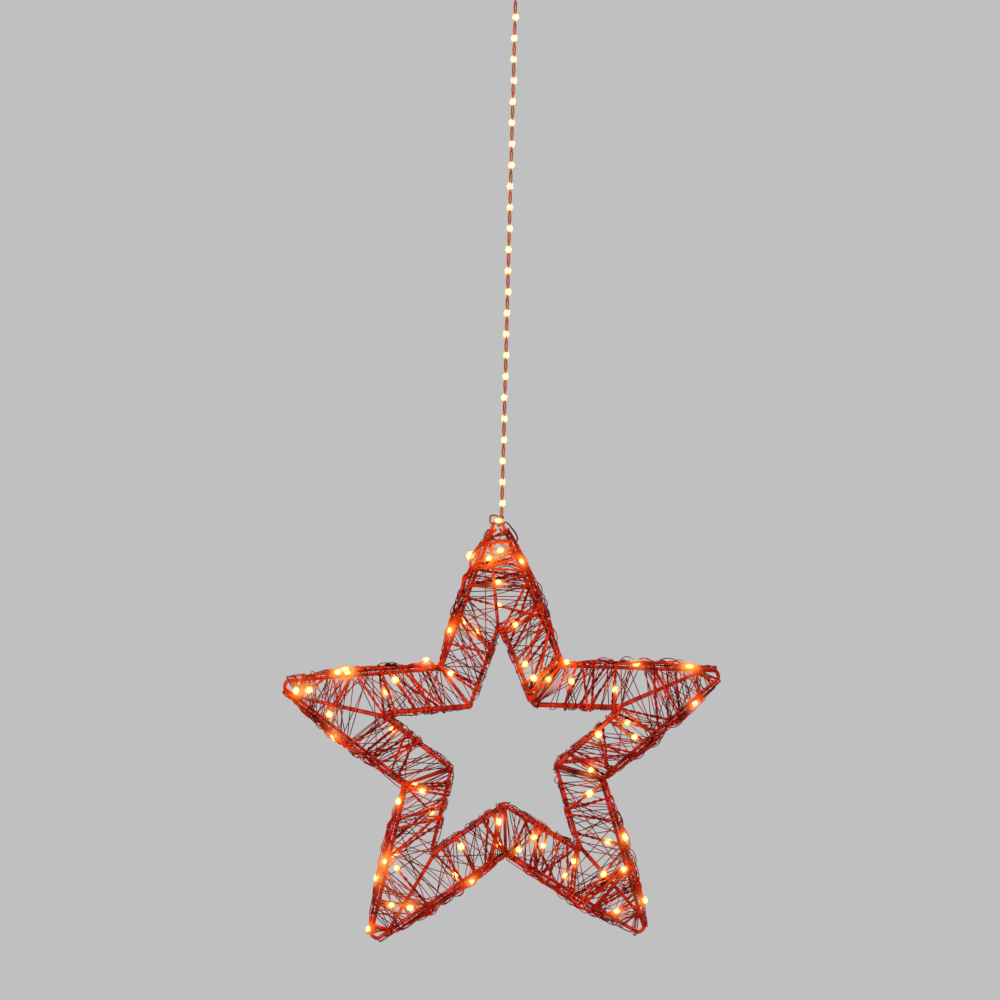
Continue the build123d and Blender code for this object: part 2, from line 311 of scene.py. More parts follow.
def round_outer(arm, side, along, face, leaving, stand_off, slack=0):
    """Half the turn round the outer rod, between the outermost place and a face."""
    made = [leg_point(arm, side, along, -stand_off - slack, 0)]
    made += round_rod(arm, side, along, (0, 0), [FACE_NORMAL[face]], stand_off)
    return made if leaving else made[::-1]


def round_inner(arm, side, along, face, leaving, stand_off):
    """Round an inner rod, from its face to the inner facet, or back where it isn't leaving."""
    angles = [mix(FACE_NORMAL[face], INNER_NORMAL[face], k / 3) for k in range(4)]
    made = round_rod(arm, side, along, (BAND_WIDTH, face * STAR_DEPTH / 2), angles, stand_off)
    return made if leaving else made[::-1]


def over_strut(arm, start, end, face, stand_off):
    """Where a run between a point's legs bends over its strut. Its ends are (side, along)."""
    one, two = leg_place(*start, 0), leg_place(*end, 0)
    low, high = strut_line(arm, face)
    run = (two[0] - one[0], two[1] - one[1])
    strut_run = (high[0] - low[0], high[1] - low[1])
    cross = run[0] * strut_run[1] - run[1] * strut_run[0]
    gap = (low[0] - one[0], low[1] - one[1])
    share = between((gap[0] * run[1] - gap[1] * run[0]) / cross, STRUT_END_SHARE, 1 - STRUT_END_SHARE)
    out, sideways = mix(low[0], high[0], share), mix(low[1], high[1], share)
    height = mix(STAR_DEPTH / 2, 0, share) + stand_off * STRUT_CLEARANCE
    return arm_point(arm, out, sideways, face * height)


def on_outer(along):
    return between(along, TIP_END, LEG_LENGTH - OUTER_END_GAP)


def on_inner(along):
    return between(along, INNER_LEG_START + INNER_START_GAP, INNER_LEG_END - INNER_END_GAP)


def inner_beside(along, turning):
    """The place on the inner rod that goes with a place on the outer one, past the turning place."""
    return mix(INNER_LEG_START, INNER_LEG_END, (along - turning) / (LEG_LENGTH - turning))


def arc_outside(rng, arm, side, along, end_along, bulge):
    """A slack arc along the outside of the outer rod, wider in the middle of the leg."""
    middle = between((along + end_along) / 2 / LEG_LENGTH, 0, 1)
    swell = bulge * rng.uniform(*ARC_SWELL) * sin(pi * middle)
    lean = rng.uniform(-LEAN, LEAN) * swell
    places = []
    for share in ARC_SHARES:
        off = ROD_RADIUS + LYING_GAP + swell * sin(pi * share) * rng.uniform(*ARC_WAVER)
        places.append(leg_point(arm, side, mix(along, end_along, share), -off, lean))
    return places


# Values of the thin wire. A spread is the usual and the wide deviation of a random place
WIRE_RADIUS = 0.00046
WIRE_STEP = 0.003
HUMP_HEIGHT = 0.0088
HUMP_LENGTH = 0.017
SAG = 0.0025
SLACK = 0.006
LYING_SHARE = 0.85
WIRE_SIDES = 5
WINDINGS = 4
HUMP_SWELL = (0.2, 1)
HUMP_RISES = ((0.05, 0.15), (0.2, 0.7), (0.5, 1), (0.8, 0.8), (0.95, 0.15))
SLACK_POWER = 1.5
SAG_DRIFT = 0.005
BARE_TIP = 0.034
LEAST_LYING = 0.012
LYING_REACH = (0.015, 0.06)
TIP_LYING_SHARE = 0.5
WIRE_LIFT = (0.0003, 0.0013)
VALLEY_GAP = 0.001
VALLEY_LIFT = 0.0012
USUAL_SHARE = 0.75
SLOPE_SPREAD = (0.012, 0.03)
START_SPREAD = (0.005, 0.01)
END_SPREAD = (0.009, 0.02)
INNER_SPREAD = (0.006, 0.014)
TIP_SPREAD = (0.014, 0.03)


def humps_outside(rng, arm, side, along, end_along):
    """Short loose humps along the outside of the outer rod, highest in the middle of the leg."""
    count = max(1, round(abs(end_along - along) / HUMP_LENGTH))
    places = []
    for hump in range(count):
        middle = mix(along, end_along, (hump + 0.5) / count)
        swell = HUMP_HEIGHT * rng.uniform(*HUMP_SWELL) * sin(pi * between(middle / LEG_LENGTH, 0, 1))
        lean = rng.uniform(-LEAN, LEAN) * swell
        for share, rise in HUMP_RISES:
            here = mix(along, end_along, (hump + share) / count)
            off = -ROD_RADIUS - LYING_GAP - swell * rise
            places.append(leg_point(arm, side, here, off, lean * rise))
    return places


def slack_at(rng, along):
    """How far a loose turn stands off the outer rod, most in the middle of the leg."""
    return SLACK * rng.uniform(0, 1) ** SLACK_POWER * sin(pi * between(along / LEG_LENGTH, 0, 1))


def band_turn(rng, arm, side, outer, inner, face, stand_off, sag):
    """From the outer rod over one face, round both inner rods, and back over the other face."""
    made = round_outer(arm, side, outer[0], face, True, stand_off, slack_at(rng, outer[0]))
    made += round_inner(arm, side, inner[0], face, True, stand_off)
    drift = face * rng.gauss(0, SAG_DRIFT)
    made.append(leg_point(arm, side, mix(*inner, 0.5), BAND_WIDTH + stand_off + sag, drift))
    made += round_inner(arm, side, inner[1], -face, False, stand_off)
    made += round_outer(arm, side, outer[1], -face, False, stand_off, slack_at(rng, outer[1]))
    return made


def tip_turn(arm, side, outer, face, stand_off, slack=0):
    """From one leg of a point over a face and its strut to the other leg."""
    made = round_outer(arm, side, outer[0], face, True, stand_off, slack)
    made.append(over_strut(arm, (side, outer[0]), (-side, outer[1]), face, stand_off))
    made += round_outer(arm, -side, outer[1], face, False, stand_off, slack)
    return made


def thin_winding(rng, turns, tip_turns, turning, face):
    """One thin wire wound right round the star, with random slopes. Between runs it lies along the
    outer rods in loose humps, and it sags between the inner rods."""
    made = []

    def spread(usual, wide):
        return rng.gauss(0, usual if rng.random() < USUAL_SHARE else wide)

    def lie_along(arm, side, along):
        end = on_outer(along + rng.uniform(*LYING_REACH) * rng.choice((-1, 1)))
        lies = rng.random() < LYING_SHARE
        if lies and abs(end - along) > LEAST_LYING and min(end, along) > BARE_TIP:
            made.extend(humps_outside(rng, arm, side, along, end))

    for arm in range(POINTS):
        for side in (-1, 1):
            steps = [(k + rng.uniform(0, 1)) / turns for k in range(turns)]
            for step in steps if side > 0 else steps[::-1]:
                along = mix(turning, LEG_LENGTH, step)
                stand_off = ROD_RADIUS + rng.uniform(*WIRE_LIFT)
                slope = spread(*SLOPE_SPREAD)
                start = on_outer(along - slope + spread(*START_SPREAD))
                outer = [start, on_outer(along + spread(*END_SPREAD))]
                beside = inner_beside(along, turning)
                inner = [on_inner(beside + slope / 2), on_inner(beside + spread(*INNER_SPREAD))]
                sag = rng.uniform(0, 1) ** 2 * SAG
                made += band_turn(rng, arm, side, outer, inner, face, stand_off, sag)
                lie_along(arm, side, outer[1])
            if side > 0:
                for leg in ((arm, side), (arm + 1, -side)):
                    made.append(leg_point(*leg, LEG_LENGTH - VALLEY_GAP, -ROD_RADIUS - VALLEY_LIFT, 0))
                continue
            here = -1
            nearest = TIP_END if arm else TIED_TIP_END
            for k in range(tip_turns):
                drop = abs(mix(-1, 1, (k + rng.uniform(0, 1)) / tip_turns))
                along = mix(nearest, turning, drop)
                other = max(nearest, on_outer(along + spread(*TIP_SPREAD)))
                stand_off = ROD_RADIUS + rng.uniform(*WIRE_LIFT)
                slack = slack_at(rng, min(along, other))
                made += tip_turn(arm, here, (along, other), face, stand_off, slack)
                here, face = -here, -face
                if rng.random() < TIP_LYING_SHARE:
                    lie_along(arm, here, other)
    return made


# The LED string, wound through the places of the LEDs in the photograph, anticlockwise
STRING_RADIUS = 0.00072
STRING_TWIST = 0.015
STRING_BULGE = 0.0068
STRING_STAND_OFF = ROD_RADIUS + 0.0014
LED_LENGTH = 0.007
LED_RADIUS = 0.0028
STRING_STEP = 0.0014
STRING_SIDES = 6
STRING_END = (BLUNT_REACH - 0.0062, 0.0015, 0.0046)
TURNING = 0.085
NOSE = 0.035
STEEP = 0.55
SLOPE_MEAN = 0.12
SLOPE_WIDE = 0.42
POINT_START = 0.03
POINT_NEAR = 0.06
POINT_STEP = 0.008
POINT_END = 0.02
POINT_DRIFT = 0.006
POINT_LEAN = 0.35
POINT_TURNS = 3
VALLEY_STOP = 0.006
VALLEY_OFF = 0.0035
OUTER_DRIFT = 0.012
INNER_DRIFT = 0.008
LEAST_LIE = 0.008
TURN_STEP = 0.022
TURN_SHARE = 0.4
LONG_WAY = 0.03
EDGE = 0.0025
OUTSIDE_LEAST = 0.002
OUTSIDE_LIFT = 0.001
PAST_ROD = 0.001
BAND_MARGIN = 0.003
START_MARGIN = 0.0025
END_MARGIN = 0.005
OUTSIDE_REACH = 0.008
OUTSIDE_STEP = 0.004
OUTSIDE_SHARE = 0.8

# Pixels of the photograph where its LEDs show, bright ones on the front and dim ones on the back
FRONT_LEDS = [
    (489, 558.5), (471, 556), (500.5, 551.5), (498, 582), (515, 625), (450.6, 674.6), (523.8, 663),
    (533.6, 677.5), (549, 680.4), (566.3, 665.5), (572, 681.4), (615, 690.3), (690.7, 667.7),
    (691.8, 699.7), (627.8, 721.3), (593.8, 730.8), (634.8, 736.5), (589.3, 771.8), (589.2, 792.8),
    (624, 837.4), (603.4, 874), (622.4, 869.6), (643.6, 900.6), (617.2, 910.3), (574.7, 861.5),
    (543.7, 845.4), (533.4, 836.3), (518.4, 849), (497.2, 821), (460.6, 846), (409, 906.7), (392.7, 905.2),
    (369.7, 929.2), (377.3, 878.2), (397.8, 868.5), (422.4, 791.4), (334.3, 736.4), (330.2, 713),
    (292.4, 691.5), (308.8, 691), (337.9, 673.2), (345.5, 670.6), (394.5, 680.3), (426, 661),
]
BACK_LEDS = [
    (518.5, 562.5), (497, 605.5), (465, 621), (451, 630.5), (477, 631.5), (636, 665), (688.5, 672.5),
    (607.4, 843), (565, 876.4), (501, 843), (456.4, 875), (471.2, 880.7), (387, 861.8), (394, 855.4),
    (432.7, 811.5), (399.6, 801.7), (414.4, 783), (391.5, 729.6), (347.6, 674.7), (385.8, 692),
]


def from_pixel(pixel, forward):
    """The place that a pixel of the photograph shows, at a distance in front of the middle plane."""
    nearer = (CAMERA_DISTANCE - forward) / CAMERA_DISTANCE
    right = (pixel[0] - PHOTO_SIZE / 2) * PIXEL * nearer
    up = (PHOTO_SIZE / 2 - pixel[1]) * PIXEL * nearer
    return VIEW_CENTRE + IMAGE_RIGHT * right + IMAGE_UP * up - Vector((0, forward, 0))


def on_leg(place):
    """A place on the star as its arm, side, distance along the leg and distance into the band."""
    offset = place - CENTRE
    fifth = 2 * pi / POINTS
    turn = atan2(offset.z, offset.x) - STAR_TILT - pi / 2
    arm = round(turn / fifth)
    reach = hypot(offset.x, offset.z)
    turn -= arm * fifth
    drop, sideways = SHARP_REACH - reach * cos(turn), reach * sin(turn)
    side = 1 if sideways > 0 else -1
    along = drop * cos(HALF_POINT) + side * sideways * sin(HALF_POINT)
    inward = drop * sin(HALF_POINT) - side * sideways * cos(HALF_POINT)
    return arm % POINTS, side, along, inward


def course(spot):
    """How far round the star a spot is, from the top point and anticlockwise."""
    arm, side, along, _, _ = spot
    leg = 2 * arm + (0 if side > 0 else -1)
    return leg % (2 * POINTS) + (along if side > 0 else INNER_LEG_END - along) / INNER_LEG_END


class LightString:
    """The route of the string. It is always at the outer rod, or at the inner rod of its face."""

    def __init__(self):
        self.route = []
        self.leds = []
        self.face = 1
        self.spot = (0, 1, POINT_START)
        self.inside = False
        self.rng = random.Random(5)

    def to_outer(self, along):
        """Over the face from the inner rod to the outer one."""
        arm, side, here = self.spot
        self.route += round_inner(arm, side, here, self.face, False, STRING_STAND_OFF)
        self.route += round_outer(arm, side, on_outer(along), self.face, False, STRING_STAND_OFF)
        self.spot, self.face, self.inside = (arm, side, on_outer(along)), -self.face, False

    def to_inner(self, along):
        """Over the face from the outer rod to the inner one, and round it."""
        arm, side, here = self.spot
        self.route += round_outer(arm, side, here, self.face, True, STRING_STAND_OFF)
        self.route += round_inner(arm, side, on_inner(along), self.face, True, STRING_STAND_OFF)
        self.spot, self.face, self.inside = (arm, side, on_inner(along)), -self.face, True

    def across_point(self, along, other):
        """From one leg of a point over its strut to the other leg."""
        arm, side, _ = self.spot
        self.route += tip_turn(arm, side, (on_outer(along), on_outer(other)), self.face, STRING_STAND_OFF)
        self.spot, self.face = (arm, -side, on_outer(other)), -self.face

    def leave_inner(self):
        if self.inside:
            arm, side, here = self.spot
            along = mix(TURNING, LEG_LENGTH, (here - INNER_LEG_START) / (INNER_LEG_END - INNER_LEG_START))
            self.to_outer(along + self.rng.gauss(0, OUTER_DRIFT))

    def walk_to(self, arm, side, along):
        """Along the outer rod to another place, with turns of the band on the way where it is far."""
        self.leave_inner()
        along = on_outer(along)
        while self.spot[:2] != (arm, side):
            if self.spot[0] == arm or self.spot[1] < 0:
                turns = POINT_TURNS if self.spot[1] < 0 else 1
                self.turn_towards(POINT_NEAR)
                for _ in range(turns):
                    here = self.spot[2]
                    other = max(here - POINT_STEP, POINT_END) + self.rng.gauss(0, POINT_DRIFT)
                    self.across_point(here, other)
            else:
                self.turn_towards(LEG_LENGTH - VALLEY_STOP)
                self.route += [leg_point(self.spot[0], 1, LEG_LENGTH, -VALLEY_OFF, 0)]
                self.spot = ((self.spot[0] + 1) % POINTS, -1, LEG_LENGTH - VALLEY_STOP)
        self.turn_towards(along)
        self.lie_to(along)

    def lie_to(self, along):
        """Along the outside of the outer rod, in a slack arc where it is a long way."""
        arm, side, here = self.spot
        if abs(along - here) > LEAST_LIE:
            self.route += arc_outside(self.rng, arm, side, here, along, STRING_BULGE)
        self.spot = (arm, side, along)

    def turn_towards(self, along):
        arm, side, here = self.spot
        while abs(along - self.spot[2]) > LONG_WAY:
            step = TURN_STEP if along > self.spot[2] else -TURN_STEP
            start = self.spot[2] + step * TURN_SHARE
            if start < TURNING:
                break
            inner = on_inner(inner_beside(start, TURNING) + self.rng.gauss(0, INNER_DRIFT))
            self.lie_to(start)
            self.to_inner(inner)
            self.spot = (arm, side, on_inner(inner + self.rng.gauss(0, INNER_DRIFT)))
            self.to_outer(start + step)

    def through(self, arm, side, along, inward, facing):
        """Over a face through an LED's place, or along the outer rod where the LED lies outside it."""
        if along < NOSE and inward > 0:
            self.through_point(arm, side, along, inward, facing)
            return
        if inward < EDGE:
            self.outside(arm, side, along, min(inward, -OUTSIDE_LEAST) - OUTSIDE_LIFT)
            return
        inward = min(inward, BAND_WIDTH - BAND_MARGIN)
        least = (INNER_LEG_START + START_MARGIN - along) / (BAND_WIDTH - inward + PAST_ROD)
        most = (INNER_LEG_END - END_MARGIN - along) / (BAND_WIDTH - inward + PAST_ROD)
        slope = between(self.rng.gauss(SLOPE_MEAN, SLOPE_WIDE), least, most)
        if least > STEEP:
            self.through_point(arm, side, along, inward, facing)
            return
        start, end = along - slope * inward, along + slope * (BAND_WIDTH - inward)
        near = self.inside and self.spot[:2] == (arm, side) and abs(self.spot[2] - end) < LONG_WAY
        if not near or self.face != facing:
            self.walk_to(arm, side, start)
            if self.face != facing:
                self.to_inner(end + self.rng.gauss(0, INNER_DRIFT))
        height = inward * tan(FACET_SLOPE) + STRING_STAND_OFF / cos(FACET_SLOPE)
        self.leds.append(leg_point(arm, side, along, inward, facing * height))
        if self.inside:
            self.spot = (arm, side, on_inner(end))
            self.to_outer(start)
        else:
            self.to_inner(end)

    def outside(self, arm, side, along, off):
        """Along the outside of the outer rod, in an arc through an LED's place."""
        self.walk_to(arm, side, along - side * OUTSIDE_REACH)
        place = leg_point(arm, side, along, off, 0)
        lower = off * OUTSIDE_SHARE
        before = leg_point(arm, side, along - side * OUTSIDE_STEP, lower, 0)
        after = leg_point(arm, side, along + side * OUTSIDE_STEP, lower, 0)
        self.route += [before, place, after]
        self.spot = (arm, side, on_outer(along + side * OUTSIDE_REACH))
        self.leds.append(place)

    def through_point(self, arm, side, along, inward, facing):
        """Across a point from leg to leg through an LED's place."""
        self.leave_inner()
        out, sideways = leg_place(side, along, inward)
        drop = SHARP_REACH - out
        lean = self.rng.gauss(0, POINT_LEAN)
        reach = {
            way: (drop + lean * sideways) / (cos(HALF_POINT) + way * lean * sin(HALF_POINT))
            for way in (-1, 1)
        }
        start = self.spot[1] if self.spot[0] == arm else -1
        self.walk_to(arm, start, reach[start])
        if self.face != facing:
            self.across_point(reach[start], reach[-start])
            start = -start
        height = over_height(arm, (start, reach[start]), (-start, reach[-start]), (out, sideways))
        self.leds.append(arm_point(arm, out, sideways, facing * height))
        self.across_point(reach[start], reach[-start])


def over_height(arm, start, end, place):
    """How high a run over a point's strut is at a place along it."""
    one, two = leg_place(*start, 0), leg_place(*end, 0)
    low, high = strut_line(arm, 1)
    run = Vector((two[0] - one[0], two[1] - one[1]))
    strut_run = Vector((high[0] - low[0], high[1] - low[1]))
    gap = Vector((low[0] - one[0], low[1] - one[1]))
    cross = run.x * strut_run.y - run.y * strut_run.x
    meet = (gap.x * strut_run.y - gap.y * strut_run.x) / cross
    share = between(meet, STRUT_MEET_SHARE, 1 - STRUT_MEET_SHARE)
    down = between((gap.x * run.y - gap.y * run.x) / cross, STRUT_END_SHARE, 1 - STRUT_END_SHARE)
    top = mix(STAR_DEPTH / 2, 0, down)
    here = (place[0] - one[0]) * run.x + (place[1] - one[1]) * run.y
    here = between(here / run.length_squared, 0, 1)
    rise = here / share if here < share else (1 - here) / (1 - share)
    return top * rise + STRING_STAND_OFF


def led_spots():
    spots = []
    for facing, pixels in ((1, FRONT_LEDS), (-1, BACK_LEDS)):
        for pixel in pixels:
            spot = on_leg(from_pixel(pixel, 0))
            forward = between(spot[3], 0, BAND_WIDTH) * tan(FACET_SLOPE)
            spots.append((*on_leg(from_pixel(pixel, facing * forward)), facing))
    return sorted(spots, key=course)


lights = LightString()
for lap in range(2):
    for spot in led_spots()[lap::2]:
        lights.through(*spot)
    lights.walk_to(0, -1, POINT_START)
    if lap == 0:
        lights.across_point(POINT_START, POINT_START)
string_start = arm_point(0, *STRING_END)
string_end = arm_point(0, STRING_END[0], -STRING_END[1], -STRING_END[2])
string_line = smooth_path([string_start, *lights.route, string_end], STRING_STEP)


def on_string(place):
    """The nearest point of the string to a place, and its direction there."""
    gaps = np.linalg.norm(string_line - np.array(place), axis=1)
    nearest = between(int(gaps.argmin()), 1, len(string_line) - 2)
    return Vector(string_line[nearest]), Vector(string_line[nearest + 1] - string_line[nearest - 1])


star_leds = [on_string(place) for place in lights.leds]


# The hanging cord and its LEDs
CORD_TOP = -0.0225
CORD_BOTTOM = -0.50467
CORD_DIAMETER = 0.0034
STRAND_RADIUS = 0.00074
STRAND_SIDES = 8
CORD_LED_FIRST = 0.0095
CORD_LED_PITCH = 0.01945
CORD_LED_COUNT = 25
CORD_LED_LENGTH = 0.0068
CORD_LED_RADIUS = 0.0028
CORD_LED_OFFSET = 0.0005
CORD_LED_TURN = 1.9
CORD_LED_LEAN = 0.12
CORD_LED_LEAN_TURN = 2.3
CORD_STEP = 0.0011
CORD_WAIST = 0.8
CORD_DRIFT = 0.35
CORD_DRIFT_RATE = 0.9
STRAIGHT_END = 6 * CORD_DIAMETER


def cord_led_places():
    places = []
    for led in range(CORD_LED_COUNT):
        turn = CORD_LED_TURN * led
        height = CORD_BOTTOM + CORD_LED_FIRST + CORD_LED_PITCH * led
        places.append((CORD_LED_OFFSET * cos(turn), CORD_LED_OFFSET * sin(turn), height))
    return places


CROWN = arm_point(0, BLUNT_REACH, 0, 0)
CROWN_LINE = (arm_point(0, 0, -1, 0) - arm_point(0, 0, 0, 0)).normalized()
TIE_OFFSET = 0.0006
TIP_LED_PLACE = CROWN + CROWN_LINE * TIE_OFFSET + Vector((0, -0.0046, 0.0015))
star_led_places = [tuple(place) for place, _ in star_leds]
lamp_places = np.array(star_led_places + cord_led_places() + [tuple(TIP_LED_PLACE)])
# Painted LED light: how far the painted glow reaches from each LED, and its highest value
PAINTED_GLOW_REACH = 0.005
MOST_PAINTED_GLOW = 1.5


def painted_led_light(points):
    """A painted glow on each point of a mesh, stronger near the LEDs, standing in for their light falling on
    it.
    """
    light = np.zeros(len(points))
    for lamp in lamp_places:
        light += np.exp(-np.linalg.norm(points - lamp, axis=1) / PAINTED_GLOW_REACH)
    return np.minimum(light, MOST_PAINTED_GLOW).tolist()


# Materials
COLOUR_DETAIL = 4
BUMP_DETAIL = 3
MOTTLE_STOPS = (0.32, 0.68)


def new_material(name):
    material = bpy.data.materials.new(name)
    material.use_nodes = True
    nodes, links = material.node_tree.nodes, material.node_tree.links
    return material, nodes, links, nodes["Principled BSDF"]


def set_inputs(node, values):
    for name, value in values.items():
        node.inputs[name].default_value = value


def add_noise(nodes, links, scale, detail):
    """A noise in the object's own space."""
    place = nodes.new("ShaderNodeTexCoord")
    noise = nodes.new("ShaderNodeTexNoise")
    set_inputs(noise, {"Scale": scale, "Detail": detail})
    links.new(place.outputs["Object"], noise.inputs["Vector"])
    return noise


def mottled(nodes, links, colours, scale):
    """Colour that wanders between two stops with a noise."""
    noise = add_noise(nodes, links, scale, COLOUR_DETAIL)
    ramp = nodes.new("ShaderNodeValToRGB")
    for stop, position, colour in zip(ramp.color_ramp.elements, MOTTLE_STOPS, colours):
        stop.position = position
        stop.color = (*colour, 1)
    links.new(noise.outputs["Fac"], ramp.inputs["Fac"])
    return noise, ramp


def add_bump(nodes, links, shader, scale, distance, strength):
    noise = add_noise(nodes, links, scale, BUMP_DETAIL)
    bump = nodes.new("ShaderNodeBump")
    set_inputs(bump, {"Distance": distance, "Strength": strength})
    links.new(noise.outputs["Fac"], bump.inputs["Height"])
    links.new(bump.outputs["Normal"], shader.inputs["Normal"])


def rough_range(nodes, links, noise, shader, low, high):
    spread = nodes.new("ShaderNodeMapRange")
    set_inputs(spread, {"To Min": low, "To Max": high})
    links.new(noise.outputs["Fac"], spread.inputs["Value"])
    links.new(spread.outputs["Result"], shader.inputs["Roughness"])


def glow_ramp(nodes, links, shader):
    """Emission from the mesh's glow attribute through a colour ramp: painted LED light on the coated parts,
    and the LED's own light in its core.
    """
    lamp_and_painted_glow = nodes.new("ShaderNodeAttribute")
    lamp_and_painted_glow.attribute_name = "lamp_and_painted_glow"
    ramp = nodes.new("ShaderNodeValToRGB")
    links.new(lamp_and_painted_glow.outputs["Fac"], ramp.inputs["Fac"])
    links.new(ramp.outputs["Color"], shader.inputs["Emission Color"])
    return ramp.color_ramp.elements


def coated(name, dark, light, mottle_scale, rough, bump_scale, bump_distance, specular, painted_glow_strength):
    """A red coating over metal or on a wire, uneven in colour, gloss and thickness, with a painted orange
    glow near the LEDs.
    """
    material, nodes, links, shader = new_material(name)
    noise, ramp = mottled(nodes, links, (dark, light), mottle_scale)
    links.new(ramp.outputs["Color"], shader.inputs["Base Color"])
    rough_range(nodes, links, noise, shader, *rough)
    add_bump(nodes, links, shader, bump_scale, bump_distance, 0.6)
    # Painted LED light: the coating glows from none through dark red to orange near the LEDs, though it is
    # no lamp
    stops = glow_ramp(nodes, links, shader)
    stops[0].position = 0.06
    stops[0].color = (0, 0, 0, 1)
    stops[1].position = 0.62
    stops[1].color = (1, 0.42, 0.06, 1)
    stops.new(0.24).color = (0.4, 0.055, 0.002, 1)
    set_inputs(shader, {"Emission Strength": painted_glow_strength, "Specular IOR Level": specular})
    return material


red_rod = coated(
    "red_rod",
    dark=(0.14, 0.002, 0.0003),
    light=(0.64, 0.023, 0.0025),
    mottle_scale=90,
    rough=(0.22, 0.4),
    bump_scale=900,
    bump_distance=0.00012,
    specular=0.09,
    painted_glow_strength=0.6,
)
# The wire's mottle is random tone, and its near-black end is painted shade: dark stretches that stand in for
# shadow on the wires
red_wire = coated(
    "red_wire",
    dark=(0.02, 0.001, 0.0003),
    light=(0.47, 0.012, 0.0015),
    mottle_scale=45,
    rough=(0.3, 0.5),
    bump_scale=2500,
    bump_distance=0.00004,
    specular=0.05,
    painted_glow_strength=0.9,
)
red_cord = coated(
    "red_cord",
    dark=(0.05, 0.002, 0.0005),
    light=(0.26, 0.01, 0.002),
    mottle_scale=70,
    rough=(0.25, 0.4),
    bump_scale=1600,
    bump_distance=0.00005,
    specular=0.12,
    painted_glow_strength=0.4,
)
red_string = coated(
    "red_string",
    dark=(0.14, 0.002, 0.0003),
    light=(0.74, 0.028, 0.002),
    mottle_scale=40,
    rough=(0.25, 0.4),
    bump_scale=1600,
    bump_distance=0.00005,
    specular=0.06,
    painted_glow_strength=0.95,
)


def lit_core():
    """The LED itself, warm white: brightest in its middle."""
    material, nodes, links, shader = new_material("led_core")
    stops = glow_ramp(nodes, links, shader)
    stops[0].color = (1, 0.2, 0.01, 1)
    stops[1].color = (1, 0.58, 0.22, 1)
    stops[1].position = 0.8
    set_inputs(shader, {"Base Color": (1, 0.8, 0.5, 1), "Emission Strength": 16})
    return material


def painted_glow_resin():
    """The drop of clear resin round it, with a painted amber glow of its own that stands in for the LED's
    light in it.
    """
    material, nodes, links, shader = new_material("led_resin")
    _, ramp = mottled(nodes, links, ((1, 0.2, 0.01), (1, 0.3, 0.03)), 400)
    # Painted glow: the resin gives off mottled amber light of its own, though only the core is a lamp
    links.new(ramp.outputs["Color"], shader.inputs["Emission Color"])
    set_inputs(shader, {"Base Color": (1, 0.5, 0.15, 1), "Roughness": 0.12})
    set_inputs(shader, {"Alpha": 0.75, "Emission Strength": 1.5})
    return material


led_core = lit_core()
led_resin = painted_glow_resin()
METAL_LIFT = 1.18


def metal(name, colour, rough, bump_scale, bump_distance):
    material, nodes, links, shader = new_material(name)
    lighter = tuple(min(1, part * METAL_LIFT) for part in colour)
    noise, ramp = mottled(nodes, links, (colour, lighter), 300)
    links.new(ramp.outputs["Color"], shader.inputs["Base Color"])
    set_inputs(shader, {"Metallic": 1})
    rough_range(nodes, links, noise, shader, *rough)
    add_bump(nodes, links, shader, bump_scale, bump_distance, 0.4)
    return material


eye_metal = metal("eye_metal", (0.62, 0.62, 0.64), (0.08, 0.2), 700, 0.00003)
ferrule_metal = metal("ferrule_metal", (0.5, 0.5, 0.5), (0.28, 0.45), 1800, 0.00004)


# Hanging cord: a twisted pair of the LED string, which opens into ovals between its LEDs
def cord_line():
    """Points read from the cord's own spline."""
    curve = bpy.data.curves.new("cord_line", "CURVE")
    curve.dimensions = "3D"
    spline = curve.splines.new("NURBS")
    heights = (CORD_TOP, CORD_TOP - STRAIGHT_END, CORD_BOTTOM + STRAIGHT_END, CORD_BOTTOM)
    spline.points.add(len(heights) - 1)
    for point, height in zip(spline.points, heights):
        point.co = (0, 0, height, 1)
    spline.order_u = 3
    spline.use_endpoint_u = True
    spline.resolution_u = 90
    line = add_object("cord_line", curve)
    bpy.context.view_layer.update()
    mesh = bpy.data.meshes.new_from_object(line)
    points = [vertex.co.copy() for vertex in mesh.vertices]
    bpy.data.objects.remove(line)
    bpy.data.meshes.remove(mesh)
    return points


def cord_strands():
    line = cord_line()
    cord = Mesh()
    for half in (0, pi):
        path = []
        for point in smooth_path(line, CORD_STEP):
            turns = (point[2] - CORD_BOTTOM - CORD_LED_FIRST) / CORD_LED_PITCH
            open_out = mix(CORD_WAIST, 1, sin(pi * turns) ** 2) * (CORD_DIAMETER / 2 - STRAND_RADIUS)
            drift = CORD_DRIFT * sin(turns * CORD_DRIFT_RATE)
            angle = pi / 2 + pi * turns + half + drift
            across, forward = open_out * cos(angle), open_out * sin(angle)
            path.append((point[0] + across, point[1] + forward, point[2]))
        cord.tube(path, STRAND_RADIUS, STRAND_SIDES)
    return line, cord.piece("hanging_cord_pair", [red_cord], "cord", "red_cord", "hanging_cord")


LED_SIDES = 12
LED_SIZES = (0.88, 1.2)
CORE_LENGTH = 0.84
CORE_WIDTH = 0.56
CORD_CORE_WIDTH = 0.72
LED_PROFILE = [
    (-1.0, 0.18), (-0.86, 0.5), (-0.6, 0.82), (-0.25, 0.98), (0.1, 1.0),
    (0.45, 0.9), (0.75, 0.66), (0.93, 0.36), (1.0, 0.16),
]


